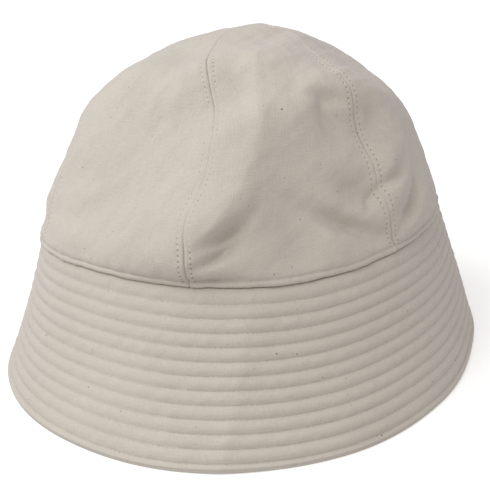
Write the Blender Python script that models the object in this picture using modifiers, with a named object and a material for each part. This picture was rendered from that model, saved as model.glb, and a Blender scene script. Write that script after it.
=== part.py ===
"""Sailor cap: a soft six-panel crown over a full, down-turned brim quilted by rows of stitching.

Units are metres and degrees, +Z is up and the cap stands on its brim's edge at Z = 0.
Angles run round the cap from its front, 0 at -Y, and grow towards +X. The distance "up" is
measured along the cloth, from the seam that joins crown and brim to the crown's tip.
"""
import math
from collections import namedtuple

import bmesh
import bpy
from mathutils import Vector

# --- driving dimensions -----------------------------------------------------------------
BRIM_HEIGHT = 0.067         # floor to the seam that joins crown and brim
SEAM_CENTRE = Vector((0.0038, 0.0034, 0.0))   # the crown sits a little off the brim's middle
CROWN_WALL = 0.0015         # one layer of canvas with its turned allowances
PANEL_GAP = 0.0003          # between the edges of two neighbouring crown panels
SEAM_DIP = 0.0004           # the panels' edges are drawn in at the seams
TIP_CLEARANCE = 0.0010      # a panel's point stops this short of the crown's tip
PANEL_ROWS = 18             # triangles up a panel, and along its foot
LEAN_ANGLE = 45.0           # the crown leans back, away from this angle

BRIM_WALL = 0.0022          # nominal outer face of the quilted brim to its under face
BRIM_BANDS = 13             # ribs between the rows of stitching
BAND_PITCH = 1 / 12.8       # share of the brim's slope that one rib takes; the last is cut short
RIB_RELIEF = 0.0005         # ribs stand this far out, and stitched grooves as far in
BRIM_SEGMENTS = 64
TUCK = 0.0008               # the brim starts this far in under the crown's hem
HEM_GAP = 0.0005            # below the crown's hem
STAND_GAP = 0.0008          # between the crown's wall and the stand inside it
STAND_WALL = 0.0016
STAND_HEIGHT = 0.007        # the brim's upper edge laps this far up inside the crown

CANVAS = (0.66, 0.61, 0.53, 1.0)
CANVAS_ROUGHNESS = 0.9

# Radial sections of the brim: the seam's radius and its rise above BRIM_HEIGHT, the edge's
# radius, and how far the slope bows out halfway down.
Section = namedtuple("Section", "angle seam_radius seam_rise edge_radius bow")
SECTIONS = (
    Section(0, 0.0965, 0.0040, 0.1255, -0.0020),
    Section(30, 0.0930, 0.0015, 0.1300, -0.0025),
    Section(60, 0.0895, -0.0010, 0.1260, -0.0020),
    Section(90, 0.0870, -0.0010, 0.1130, -0.0010),
    Section(120, 0.0885, -0.0010, 0.1060, -0.0005),
    Section(150, 0.0945, -0.0015, 0.1120, 0.0005),
    Section(180, 0.0990, -0.0005, 0.1185, 0.0005),
    Section(210, 0.0985, 0.0000, 0.1215, 0.0005),
    Section(240, 0.0965, 0.0000, 0.1220, 0.0000),
    Section(270, 0.0955, -0.0005, 0.1230, 0.0000),
    Section(300, 0.0970, -0.0005, 0.1245, -0.0010),
    Section(330, 0.0990, 0.0020, 0.1240, -0.0015),
)

# Rings of the crown: height above the seam, reach as a share of the seam's radius, shift to
# the right of and back from LEAN_ANGLE, backward tilt of the ring, and fullness of its rear.
Ring = namedtuple("Ring", "up height reach right back tilt rear")
RINGS = (
    Ring(0.000, 0.0000, 1.00, 0.0000, 0.0000, 0.0, 0.0000),
    Ring(0.006, 0.0060, 1.00, -0.0005, -0.0010, 0.5, 0.0010),
    Ring(0.025, 0.0225, 0.94, 0.0000, -0.0005, 1.5, 0.0040),
    Ring(0.045, 0.0410, 0.85, 0.0015, 0.0000, 3.0, 0.0080),
    Ring(0.065, 0.0580, 0.75, 0.0010, 0.0010, 12.0, 0.0120),
    Ring(0.086, 0.0730, 0.57, 0.0010, 0.0030, 13.5, 0.0125),
    Ring(0.107, 0.0840, 0.36, 0.0030, 0.0060, 15.5, 0.0080),
    Ring(0.127, 0.0882, 0.19, 0.0070, 0.0100, 17.5, 0.0030),
    Ring(0.145, 0.0905, 0.00, 0.0120, 0.0155, 19.5, 0.0000),
)
TIP_UP = RINGS[-1].up
RISE_FADE_UP = 0.065        # the seam's rise and fall has died away this far up the crown
HEM_HOLD = 0.006            # the seam with the brim holds the folds down below about here

# Crown seams: the angle that each runs at, at seven distances up from its foot to the tip.
SEAM_UPS = (0.000, 0.013, 0.030, 0.048, 0.068, 0.107, 0.145)
Seam = namedtuple("Seam", "foot hem low waist middle high tip")
SEAMS = {
    "front": Seam(28, 28, 28, 32, 34, 23, 18),
    "right": Seam(92, 93, 90, 89, 91, 97, 92),
    "back_right": Seam(152, 151, 151, 150, 150, 152, 150),
    "back": Seam(211, 212, 212, 211, 210, 208, 210),
    "left": Seam(270, 269, 269, 271, 272, 271, 270),
    "front_left": Seam(329, 330, 330, 329, 328, 330, 326),
}
Panel = namedtuple("Panel", "name from_seam to_seam")
PANELS = (
    Panel("crown_panel_front", "front_left", "front"),
    Panel("crown_panel_front_right", "front", "right"),
    Panel("crown_panel_back_right", "right", "back_right"),
    Panel("crown_panel_back", "back_right", "back"),
    Panel("crown_panel_back_left", "back", "left"),
    Panel("crown_panel_front_left", "left", "front_left"),
)

# Soft folds and dents of the crown. Each is a long mound, or a hollow where the depth is
# negative; turn is how far its long axis leans from straight up, towards growing angles, and
# crest is 2 for a round back and less for a creased one.
Fold = namedtuple("Fold", "name angle up turn length width depth crest")
FOLDS = (
    Fold("top of the ridge over the front right panel", 51, 0.076, 8, 0.012, 0.0045, 0.0022, 1.5),
    Fold("the ridge where it bears left", 41, 0.040, 31, 0.025, 0.0135, 0.0085, 1.3),
    Fold("fall right of the ridge", 56, 0.053, -2, 0.042, 0.0125, -0.0040, 2),
    Fold("crease under the ridge's end", 38, 0.021, 50, 0.006, 0.0028, -0.0028, 2),
    Fold("puff beside the front seam's foot", 28, 0.019, 50, 0.020, 0.0085, 0.0040, 2),
    Fold("pit in that puff", 36, 0.012, 60, 0.008, 0.0028, -0.0024, 2),
    Fold("hollow along the front hem", 25, 0.002, 92, 0.022, 0.0040, -0.0008, 2),
    Fold("hollow high by the front seam", 39, 0.079, 17, 0.009, 0.0090, -0.0052, 2),
    Fold("hollow across the front seam", 20, 0.064, 86, 0.031, 0.0088, -0.0048, 2),
    Fold("dimple by the right seam", 77, 0.060, 50, 0.006, 0.0065, -0.0048, 2),
    Fold("rim over the dimple", 75, 0.069, 72, 0.013, 0.0080, 0.0045, 2),
    Fold("hollow on the right seam", 94, 0.051, -32, 0.0075, 0.0108, -0.0046, 2),
    Fold("puff right of the right seam", 108, 0.045, 20, 0.011, 0.0055, 0.0025, 2),
    Fold("swell across the right seam", 85, 0.040, -72, 0.024, 0.0066, 0.0022, 2),
    Fold("short ridge low across the right seam", 93, 0.0275, 78, 0.009, 0.0026, 0.0022, 1.5),
    Fold("crease over the short ridge", 86, 0.0355, 88, 0.008, 0.0024, -0.0010, 2),
    Fold("crease under the short ridge", 99, 0.0165, 72, 0.007, 0.0026, -0.0012, 2),
    Fold("hollow above the right hem", 98, 0.032, -96, 0.017, 0.0058, -0.0032, 2),
    Fold("crease towards the right hem", 79, 0.016, -60, 0.024, 0.0032, -0.0024, 2),
    Fold("fall inside the right limb", 119, 0.049, -12, 0.018, 0.0070, -0.0015, 2),
    Fold("ridge before the right limb", 103, 0.049, 10, 0.035, 0.0120, 0.0044, 2),
    Fold("hollow low on the front panel", 1, 0.015, 52, 0.026, 0.0070, -0.0013, 2),
    Fold("swell by the left limb", 346, 0.034, 68, 0.015, 0.0042, 0.0016, 2),
    Fold("fall over the hem by the left limb", 322, 0.009, 90, 0.020, 0.0060, -0.0020, 2),
    Fold("slack of the front panel", 6, 0.044, 62, 0.029, 0.0112, -0.0050, 2),
    Fold("hollow along the right hem", 75, 0.005, 114, 0.031, 0.0090, -0.0024, 2),
    Fold("swell by the crown's tip", 57, 0.091, 43, 0.010, 0.0080, 0.0032, 2),
    Fold("flat above the right limb", 126, 0.088, 0, 0.018, 0.0180, -0.0040, 2),
    Fold("slack fold of the left panel", 303, 0.050, 20, 0.028, 0.0100, 0.0018, 2),
    Fold("fall beside the slack fold", 318, 0.048, 18, 0.024, 0.0100, -0.0006, 2),
    Fold("hollow low on the left seam", 268, 0.026, -55, 0.012, 0.0070, -0.0020, 2),
    Fold("ridge down the back left panel", 241, 0.060, -12, 0.030, 0.0100, 0.0020, 2),
    Fold("dent of the back panel", 186, 0.056, 65, 0.018, 0.0110, -0.0026, 2),
    Fold("puff under the back dent", 184, 0.030, 80, 0.020, 0.0100, 0.0014, 2),
    Fold("soft fold of the back right panel", 134, 0.060, 15, 0.026, 0.0100, 0.0016, 2),
)


# --- smooth curves through short tables ---------------------------------------------------
def smooth(places, values, at):
    """A cubic curve through a table's rows, with each row's slope taken from its neighbours."""
    last = len(places) - 1
    row = max(i for i in range(last) if i == 0 or places[i] <= at)

    def slope(i):
        before, after = max(i - 1, 0), min(i + 1, last)
        return (values[after] - values[before]) / (places[after] - places[before])

    span = places[row + 1] - places[row]
    f = (at - places[row]) / span
    start, end = values[row], values[row + 1]
    rise = f * f * (3 - 2 * f)
    leave = f * (1 - f) ** 2 * span * slope(row)
    arrive = f * f * (f - 1) * span * slope(row + 1)
    return start + rise * (end - start) + leave + arrive


def around(column, angle):
    """A column of SECTIONS at any angle, closing smoothly on itself."""
    count = len(SECTIONS)
    places = [360 * (i // count) + SECTIONS[i % count].angle for i in range(-2, count + 3)]
    values = [getattr(SECTIONS[i % count], column) for i in range(-2, count + 3)]
    return smooth(places, values, angle % 360)


def ring(column, up):
    return smooth([r.up for r in RINGS], [getattr(r, column) for r in RINGS], up)


def seam_angle(name, up):
    return smooth(SEAM_UPS, SEAMS[name], up)


def polar(radius, angle, height):
    turn = math.radians(angle)
    return Vector((radius * math.sin(turn), -radius * math.cos(turn), height))


def seam_height(angle):
    return BRIM_HEIGHT + around("seam_rise", angle)


# --- the crown's surface ------------------------------------------------------------------
def crown_form(angle, up):
    """The crown without its folds, about the seam's centre."""
    back = polar(-1, LEAN_ANGLE, 0)
    right = polar(1, LEAN_ANGLE + 90, 0)
    fade = max(0, 1 - up / RISE_FADE_UP) ** 2
    height = BRIM_HEIGHT + ring("height", up) + fade * around("seam_rise", angle)
    point = polar(ring("reach", up) * around("seam_radius", angle), angle, height)
    point.z -= point.dot(back) * math.tan(math.radians(ring("tilt", up)))
    swell = ring("rear", up) * max(0, -math.cos(math.radians(angle - LEAN_ANGLE))) ** 1.5
    facing = math.pi / 2 * up / TIP_UP
    point += polar(swell * math.cos(facing), angle, swell * math.sin(facing))
    return point + right * ring("right", up) + back * ring("back", up)


def crown_normal(angle, up):
    turn, rise = 0.5, 0.0005
    up = min(max(up, rise), TIP_UP - 4 * rise)
    across = crown_form(angle + turn, up) - crown_form(angle - turn, up)
    along = crown_form(angle, up + rise) - crown_form(angle, up - rise)
    return across.cross(along).normalized()


def fold_height(angle, up):
    total = 0
    for fold in FOLDS:
        swing = math.radians((angle - fold.angle + 180) % 360 - 180)
        side = swing * ring("reach", up) * around("seam_radius", angle)
        rise = up - fold.up
        lean = math.radians(fold.turn)
        lengthwise = rise * math.cos(lean) + side * math.sin(lean)
        crosswise = side * math.cos(lean) - rise * math.sin(lean)
        across = abs(crosswise / fold.width) ** fold.crest
        total += fold.depth * math.exp(-((lengthwise / fold.length) ** 2 + across) / 2)
    return total * (1 - math.exp(-(up / HEM_HOLD) ** 2))


def crown_point(angle, up, depth=0.0):
    """A point of the crown, at a depth in from its outer face."""
    lift = fold_height(angle, up) - depth
    return crown_form(angle, up) + lift * crown_normal(angle, up)


# --- the brim's surface -------------------------------------------------------------------
def brim_point(angle, share, depth=0.0):
    """A point of the brim's slope, from the seam at share 0 to the edge at 1, at a depth."""
    seam = polar(around("seam_radius", angle), angle, seam_height(angle))
    edge = polar(around("edge_radius", angle), angle, 0)
    slope = edge - seam
    outward = Vector((-seam.x * slope.z, -seam.y * slope.z, seam.xy.length * slope.xy.length))
    bow = 4 * share * (1 - share) * around("bow", angle)
    return seam + slope * share + outward.normalized() * (bow - depth)


def brim_section(angle):
    """The closed outline of the brim cut at one angle: outer ribs, edge, under face and stand."""
    radius, hem = around("seam_radius", angle), seam_height(angle) - HEM_GAP
    stand_outer = CROWN_WALL + STAND_GAP
    stand_inner = stand_outer + STAND_WALL
    outline = [polar(radius - stand_outer, angle, hem), polar(radius - TUCK, angle, hem)]
    for band in range(BRIM_BANDS):
        if band:
            outline.append(brim_point(angle, band * BAND_PITCH, RIB_RELIEF))
        end = min((band + 1) * BAND_PITCH, 1)
        outline.append(brim_point(angle, (band * BAND_PITCH + end) / 2, -RIB_RELIEF))
    edge = brim_point(angle, 1)
    outline.append(edge)
    outline.append(edge - polar(BRIM_WALL, angle, 0))
    for share in (0.75, 0.5, 0.25):
        outline.append(brim_point(angle, share, BRIM_WALL))
    outline.append(polar(radius - stand_inner, angle, hem))
    outline.append(crown_point(angle, STAND_HEIGHT, stand_inner))
    outline.append(crown_point(angle, STAND_HEIGHT, stand_outer))
    return outline


# --- materials and objects ----------------------------------------------------------------
def canvas_material(name):
    material = bpy.data.materials.new(name)
    material.use_nodes = True
    shader = material.node_tree.nodes["Principled BSDF"]
    shader.inputs["Base Color"].default_value = CANVAS
    shader.inputs["Roughness"].default_value = CANVAS_ROUGHNESS
    shader.inputs["Metallic"].default_value = 0.0
    return material


def add_object(name, bm, material, collection, parent):
    mesh = bpy.data.meshes.new(name)
    bmesh.ops.recalc_face_normals(bm, faces=bm.faces)
    bm.to_mesh(mesh)
    bm.free()
    mesh.shade_smooth()
    mesh.materials.append(material)
    piece = bpy.data.objects.new(name, mesh)
    collection.objects.link(piece)
    piece.parent = parent
    return piece


def panel_row(panel, row):
    """Points across a panel at one row; each row has one point fewer than the row below it."""
    up = (TIP_UP - TIP_CLEARANCE) * row / PANEL_ROWS
    low = seam_angle(panel.from_seam, up)
    high = seam_angle(panel.to_seam, up)
    if high < low:
        high += 360
    radius = ring("reach", up) * around("seam_radius", low)
    inset = math.degrees(PANEL_GAP / 2 / radius)
    low, high = low + inset, high - inset
    steps = PANEL_ROWS - row
    if steps == 0:
        return [crown_point((low + high) / 2, up)]
    points = []
    for step in range(steps + 1):
        at_edge = step in (0, steps)
        points.append(crown_point(low + (high - low) * step / steps, up, SEAM_DIP if at_edge else 0))
    return points


def make_panel(panel, material, collection, parent):
    """A crown panel: an open triangular sheet, given its thickness inwards by Solidify."""
    bm = bmesh.new()
    rows = [[bm.verts.new(p) for p in panel_row(panel, row)] for row in range(PANEL_ROWS + 1)]
    for lower, upper in zip(rows, rows[1:]):
        for i, top in enumerate(upper):
            bm.faces.new((lower[i], lower[i + 1], top))
            if i:
                bm.faces.new((lower[i], top, upper[i - 1]))
    piece = add_object(panel.name, bm, material, collection, parent)
    shell = piece.modifiers.new("wall", "SOLIDIFY")
    shell.thickness = CROWN_WALL
    shell.offset = -1
    return piece


def make_brim(material, collection, parent):
    """The brim: its section lofted once round the cap, because no two sections are alike."""
    bm = bmesh.new()
    sections = []
    for step in range(BRIM_SEGMENTS):
        sections.append([bm.verts.new(p) for p in brim_section(360 * step / BRIM_SEGMENTS)])
    count = len(sections[0])
    for step, here in enumerate(sections):
        after = sections[(step + 1) % BRIM_SEGMENTS]
        for i in range(count):
            j = (i + 1) % count
            bm.faces.new((here[i], here[j], after[j], after[i]))
    return add_object("brim", bm, material, collection, parent)


def main():
    for old in list(bpy.data.objects):
        bpy.data.objects.remove(old, do_unlink=True)
    collection = bpy.data.collections.new("sailor_cap")
    bpy.context.scene.collection.children.link(collection)
    seam_centre = bpy.data.objects.new("seam_centre", None)
    seam_centre.location = SEAM_CENTRE
    collection.objects.link(seam_centre)
    for panel in PANELS:
        make_panel(panel, canvas_material(panel.name), collection, seam_centre)
    make_brim(canvas_material("brim"), collection, seam_centre)


main()
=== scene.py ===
"""The dressed sailor cap: fine canvas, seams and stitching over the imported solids, and its studio.

Metres and degrees. Angles run round the cap from its front, 0 at -Y, towards +X. "Up" is
measured along the crown's cloth from its seam with the brim, and a brim's "share" runs down
its slope from that seam to the edge.
"""
import math
from collections import namedtuple

import bpy
import numpy as np
from mathutils import Matrix, Vector


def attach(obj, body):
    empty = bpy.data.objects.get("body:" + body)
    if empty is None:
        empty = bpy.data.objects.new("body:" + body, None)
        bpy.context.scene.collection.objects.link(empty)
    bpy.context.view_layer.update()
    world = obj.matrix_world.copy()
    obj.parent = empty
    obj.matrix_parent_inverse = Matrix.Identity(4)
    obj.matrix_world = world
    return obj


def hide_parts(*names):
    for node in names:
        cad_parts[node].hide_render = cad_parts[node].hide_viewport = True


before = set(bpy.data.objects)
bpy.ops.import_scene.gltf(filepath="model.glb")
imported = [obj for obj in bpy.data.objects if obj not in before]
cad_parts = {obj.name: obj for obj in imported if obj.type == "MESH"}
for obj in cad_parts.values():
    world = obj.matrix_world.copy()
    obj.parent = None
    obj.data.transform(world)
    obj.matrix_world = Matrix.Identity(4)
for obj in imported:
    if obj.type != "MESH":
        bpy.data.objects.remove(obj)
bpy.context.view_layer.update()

# --- the cap's form ---
# The values are the solids' own, except that the right seam runs up to 2 degrees off theirs.
BRIM_HEIGHT = 0.067         # floor to the seam that joins crown and brim
SEAM_CENTRE = np.array((0.0038, 0.0034, 0.0))   # the crown sits a little off the brim's middle
LEAN_ANGLE = 45.0           # the crown leans back, away from this angle
BRIM_WALL = 0.0022          # outer face of the quilted brim to its under face
BRIM_BANDS = 13             # ribs between the rows of stitching
BAND_PITCH = 1 / 12.8       # share of the brim's slope that one rib takes

# Radial sections of the brim: the seam's radius and its rise above BRIM_HEIGHT, the edge's
# radius, and how far the slope bows out halfway down.
Section = namedtuple("Section", "angle seam_radius seam_rise edge_radius bow")
SECTIONS = (
    Section(0, 0.0965, 0.0040, 0.1255, -0.0020),
    Section(30, 0.0930, 0.0015, 0.1300, -0.0025),
    Section(60, 0.0895, -0.0010, 0.1260, -0.0020),
    Section(90, 0.0870, -0.0010, 0.1130, -0.0010),
    Section(120, 0.0885, -0.0010, 0.1060, -0.0005),
    Section(150, 0.0945, -0.0015, 0.1120, 0.0005),
    Section(180, 0.0990, -0.0005, 0.1185, 0.0005),
    Section(210, 0.0985, 0.0000, 0.1215, 0.0005),
    Section(240, 0.0965, 0.0000, 0.1220, 0.0000),
    Section(270, 0.0955, -0.0005, 0.1230, 0.0000),
    Section(300, 0.0970, -0.0005, 0.1245, -0.0010),
    Section(330, 0.0990, 0.0020, 0.1240, -0.0015),
)

# Rings of the crown: height above the seam, reach as a share of the seam's radius, shift to
# the right of and back from LEAN_ANGLE, backward tilt of the ring, and fullness of its rear.
Ring = namedtuple("Ring", "up height reach right back tilt rear")
RINGS = (
    Ring(0.000, 0.0000, 1.00, 0.0000, 0.0000, 0.0, 0.0000),
    Ring(0.006, 0.0060, 1.00, -0.0005, -0.0010, 0.5, 0.0010),
    Ring(0.025, 0.0225, 0.94, 0.0000, -0.0005, 1.5, 0.0040),
    Ring(0.045, 0.0410, 0.85, 0.0015, 0.0000, 3.0, 0.0080),
    Ring(0.065, 0.0580, 0.75, 0.0010, 0.0010, 12.0, 0.0120),
    Ring(0.086, 0.0730, 0.57, 0.0010, 0.0030, 13.5, 0.0125),
    Ring(0.107, 0.0840, 0.36, 0.0030, 0.0060, 15.5, 0.0080),
    Ring(0.127, 0.0882, 0.19, 0.0070, 0.0100, 17.5, 0.0030),
    Ring(0.145, 0.0905, 0.00, 0.0120, 0.0155, 19.5, 0.0000),
)
TIP_UP = RINGS[-1].up
RISE_FADE_UP = 0.065        # the seam's rise and fall has died away this far up the crown
HEM_HOLD = 0.006            # the seam with the brim holds the folds down below about here

# Crown seams: the angle that each runs at, at seven distances up from its foot to the tip.
SEAM_UPS = (0.000, 0.013, 0.030, 0.048, 0.068, 0.107, 0.145)
Seam = namedtuple("Seam", "foot hem low waist middle high tip")
SEAMS = {
    "front": Seam(28, 28, 28, 32, 34, 23, 18),
    "right": Seam(93, 91.5, 90, 89, 89, 95, 92),
    "back_right": Seam(152, 151, 151, 150, 150, 152, 150),
    "back": Seam(211, 212, 212, 211, 210, 208, 210),
    "left": Seam(270, 269, 269, 271, 272, 271, 270),
    "front_left": Seam(329, 330, 330, 329, 328, 330, 326),
}
Panel = namedtuple("Panel", "name from_seam to_seam")
PANELS = (
    Panel("crown_panel_front", "front_left", "front"),
    Panel("crown_panel_front_right", "front", "right"),
    Panel("crown_panel_back_right", "right", "back_right"),
    Panel("crown_panel_back", "back_right", "back"),
    Panel("crown_panel_back_left", "back", "left"),
    Panel("crown_panel_front_left", "left", "front_left"),
)

# Soft folds and dents of the crown. Each is a long mound, or a hollow where the depth is
# negative; turn is how far its long axis leans from straight up, towards growing angles, and
# crest is 2 for a round back, as most have, and less for a creased one.
Fold = namedtuple("Fold", "name angle up turn length width depth crest", defaults=(2,))
FOLDS = (
    Fold("top of the ridge over the front right panel", 51, 0.076, 8, 0.012, 0.0045, 0.0022, 1.5),
    Fold("the ridge where it bears left", 41, 0.040, 31, 0.025, 0.0135, 0.0085, 1.3),
    Fold("fall right of the ridge", 56, 0.053, -2, 0.042, 0.0125, -0.0040),
    Fold("crease under the ridge's end", 38, 0.021, 50, 0.006, 0.0028, -0.0028),
    Fold("puff beside the front seam's foot", 28, 0.019, 50, 0.020, 0.0085, 0.0040),
    Fold("pit in that puff", 36, 0.012, 60, 0.008, 0.0028, -0.0024),
    Fold("hollow along the front hem", 25, 0.002, 92, 0.022, 0.0040, -0.0008),
    Fold("hollow high by the front seam", 39, 0.079, 17, 0.009, 0.0090, -0.0052),
    Fold("hollow across the front seam", 20, 0.064, 86, 0.031, 0.0088, -0.0048),
    Fold("dimple by the right seam", 77, 0.060, 50, 0.006, 0.0065, -0.0048),
    Fold("rim over the dimple", 75, 0.069, 72, 0.013, 0.0080, 0.0045),
    Fold("hollow on the right seam", 94, 0.051, -32, 0.0075, 0.0108, -0.0046),
    Fold("puff right of the right seam", 108, 0.045, 20, 0.011, 0.0055, 0.0025),
    Fold("swell across the right seam", 85, 0.040, -72, 0.024, 0.0066, 0.0022),
    Fold("short ridge low across the right seam", 93, 0.0275, 78, 0.009, 0.0026, 0.0022, 1.5),
    Fold("crease over the short ridge", 86, 0.0355, 88, 0.008, 0.0024, -0.0010),
    Fold("crease under the short ridge", 99, 0.0165, 72, 0.007, 0.0026, -0.0012),
    Fold("hollow above the right hem", 98, 0.032, -96, 0.017, 0.0058, -0.0032),
    Fold("crease towards the right hem", 79, 0.016, -60, 0.024, 0.0032, -0.0024),
    Fold("fall inside the right limb", 119, 0.049, -12, 0.018, 0.0070, -0.0015),
    Fold("ridge before the right limb", 103, 0.049, 10, 0.035, 0.0120, 0.0044),
    Fold("hollow low on the front panel", 1, 0.015, 52, 0.026, 0.0070, -0.0013),
    Fold("swell by the left limb", 346, 0.034, 68, 0.015, 0.0042, 0.0016),
    Fold("fall over the hem by the left limb", 322, 0.009, 90, 0.020, 0.0060, -0.0020),
    Fold("slack of the front panel", 6, 0.044, 62, 0.029, 0.0112, -0.0050),
    Fold("hollow along the right hem", 75, 0.005, 114, 0.031, 0.0090, -0.0024),
    Fold("swell by the crown's tip", 57, 0.091, 43, 0.010, 0.0080, 0.0032),
    Fold("flat above the right limb", 126, 0.088, 0, 0.018, 0.0180, -0.0040),
    Fold("slack fold of the left panel", 303, 0.050, 20, 0.028, 0.0100, 0.0018),
    Fold("fall beside the slack fold", 318, 0.048, 18, 0.024, 0.0100, -0.0006),
    Fold("hollow low on the left seam", 268, 0.026, -55, 0.012, 0.0070, -0.0020),
    Fold("ridge down the back left panel", 241, 0.060, -12, 0.030, 0.0100, 0.0020),
    Fold("dent of the back panel", 186, 0.056, 65, 0.018, 0.0110, -0.0026),
    Fold("puff under the back dent", 184, 0.030, 80, 0.020, 0.0100, 0.0014),
    Fold("soft fold of the back right panel", 134, 0.060, 15, 0.026, 0.0100, 0.0016),
)

# --- fine relief of the cloth ---
# Creases too narrow for the solids' facets, and the slack of the cloth between the large folds,
# in the same columns.
FINE_FOLDS = (
    Fold("puff above the round crease", 96, 0.042, 15, 0.012, 0.0060, 0.0038),
    Fold("long ridge down to the right seam", 98, 0.026, 60, 0.011, 0.0030, 0.0024),
    Fold("trough under the long ridge", 101, 0.016, 50, 0.013, 0.0018, -0.0030),
    Fold("ridge under that trough", 103, 0.011, 55, 0.012, 0.0030, 0.0022),
    Fold("outer ridge by the right limb", 113, 0.016, 75, 0.011, 0.0050, 0.0024),
    Fold("round crease over the short ridge", 97, 0.033, 70, 0.010, 0.0022, -0.0028),
    Fold("short crease left of the right seam", 86, 0.026, 50, 0.0045, 0.0016, -0.0026),
    Fold("small puff under the short crease", 84, 0.024, 60, 0.005, 0.0025, 0.0010),
    Fold("hollow left of the right seam", 80, 0.032, 125, 0.010, 0.0035, -0.0034),
    Fold("long crease towards the right hem", 74, 0.021, 120, 0.014, 0.0026, -0.0038),
    Fold("swell over the right hem", 72, 0.005, 150, 0.012, 0.0065, 0.0030),
    Fold("arch over the dimple", 79, 0.065, 105, 0.0050, 0.0018, -0.0044),
    Fold("side of the dimple", 75, 0.062, 0, 0.0025, 0.0022, -0.0022),
    Fold("swell in the dimple", 80, 0.064, -5, 0.0045, 0.0065, 0.0038),
    Fold("small pit right of the right seam", 98, 0.056, 145, 0.004, 0.0030, -0.0024),
    Fold("swell right of the dimple", 99, 0.063, 120, 0.008, 0.0060, 0.0024),
    Fold("first crease under the ridge's end", 38, 0.0235, 55, 0.0065, 0.0016, -0.0052),
    Fold("hollow under the first crease", 37, 0.0185, 55, 0.006, 0.0035, -0.0016),
    Fold("slip of cloth under the creases", 31, 0.0075, 65, 0.009, 0.0040, 0.0040),
    Fold("second crease under the ridge's end", 34, 0.012, 60, 0.007, 0.0015, -0.0042),
    Fold("tuck above the hem", 34, 0.003, 90, 0.008, 0.0010, -0.0080),
    Fold("trough right of the ridge's bend", 43, 0.026, 35, 0.009, 0.0030, -0.0024),
    Fold("pit beyond the creases", 46, 0.018, 65, 0.005, 0.0035, -0.0008),
    Fold("pit left of the front seam's top", 29, 0.080, -5, 0.004, 0.0060, -0.0010),
    Fold("swell right of the front seam's top", 34, 0.084, 40, 0.0045, 0.0085, 0.0024),
    Fold("swell where the ridge starts", 52, 0.086, 25, 0.011, 0.0080, 0.0036),
    Fold("fall right of that swell", 54, 0.089, 25, 0.018, 0.0060, -0.0032),
    Fold("flat below the tip", 32, 0.108, 65, 0.018, 0.0065, -0.0018),
    Fold("puff high on the front panel", 352, 0.085, 75, 0.007, 0.0060, 0.0024),
    Fold("swell of the slack front panel", 342, 0.078, 60, 0.012, 0.0060, 0.0020),
    Fold("hollow under that puff", 3, 0.068, 100, 0.010, 0.0070, -0.0022),
    Fold("swell left of the front seam", 16, 0.037, 90, 0.021, 0.0105, 0.0026),
    Fold("puff by the left limb", 332, 0.044, 65, 0.011, 0.0070, 0.0018),
    Fold("low swell of the front panel", 356, 0.014, 85, 0.022, 0.0065, 0.0018),
    Fold("faint ridge of the front panel", 0, 0.048, 90, 0.018, 0.0060, 0.0010),
    Fold("hollow near the tip", 8, 0.098, 40, 0.0065, 0.0085, -0.0022),
    Fold("faint crease by the left limb", 345, 0.034, 55, 0.017, 0.0030, -0.0006),
)
WALL = 0.0015               # the crown's canvas with its turned hem
ALLOWANCE = 0.0075          # seam allowances reach this far inside each seam
ALLOWANCE_WALL, ALLOWANCE_EDGE = 0.0006, 0.0003
STITCH_OFFSET = 0.0025      # rows of topstitching run this far from each crown seam
STITCH_PITCH = 0.0025

# The crown's relief, as lifts and the widths that they take: by its seams, and up from its hem,
# where the turned edge stands out as a rounded lip and its stitched row puckers the cloth.
SEAM_GROOVE, GROOVE_WIDTH = -0.00070, 0.00040
SEAM_PADDING, PADDING_EDGE = 0.00010, 0.0008
ROW_DIP, ROW_DIP_WIDTH = -0.00016, 0.00050
HEM_EDGE, HEM_EDGE_WIDTH = -0.00030, 0.00030
HEM_LIP, HEM_LIP_WIDTH = 0.00075, 0.0024
HEM_STITCH_UP, HEM_DIP, HEM_DIP_WIDTH = 0.0027, -0.00035, 0.00045
HEM_PUCKER, PUCKER_UP, PUCKER_WIDTH = 0.00009, 0.0048, 0.0028
INNER_HEM, INNER_HEM_WIDTH = 0.0005, 0.0006

# Slight unevenness of handled cloth: the height and the wavelength of each ripple. The crown's
# fine ripples are stronger on its right side.
CROWN_SLACK = ((0.00040, 0.021),)
CROWN_RIPPLES = ((0.00019, 0.0085), (0.00008, 0.0042))
BRIM_RIPPLES = ((0.00008, 0.0085), (0.00004, 0.0060))
HANDLED_MORE, HANDLED_ANGLE, HANDLED_REACH = 0.6, 95, 40

# A panel's mesh: its columns by their distance from the nearer seam and its first rows by their
# distance from the hem, both given in millimetres, then evenly spaced columns and rows.
EDGE_DISTANCES = np.array((
    0.02, 0.25, 0.5, 0.8, 1.2, 1.7, 2.1, 2.35, 2.65, 2.9, 3.4, 4.2, 5.4, 7.0, 8.4)) / 1000
HEM_UPS = np.array((0.0, 0.25, 0.55, 0.95, 1.4, 1.8, 2.1, 2.3, 2.5, 2.8, 3.3, 4.0, 4.9)) / 1000
EDGE_SHARE = 0.40           # most of a narrow row that the columns by one seam may take
MIDDLE_COLUMNS = 72
EVEN_UP = 0.006             # the evenly spaced rows start here
CROWN_STEP = 0.0010
TIP_STOP = 0.0003           # the mesh stops this short of the crown's tip
SEARCH_COLUMNS = 33         # points at which a row's length is measured

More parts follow.
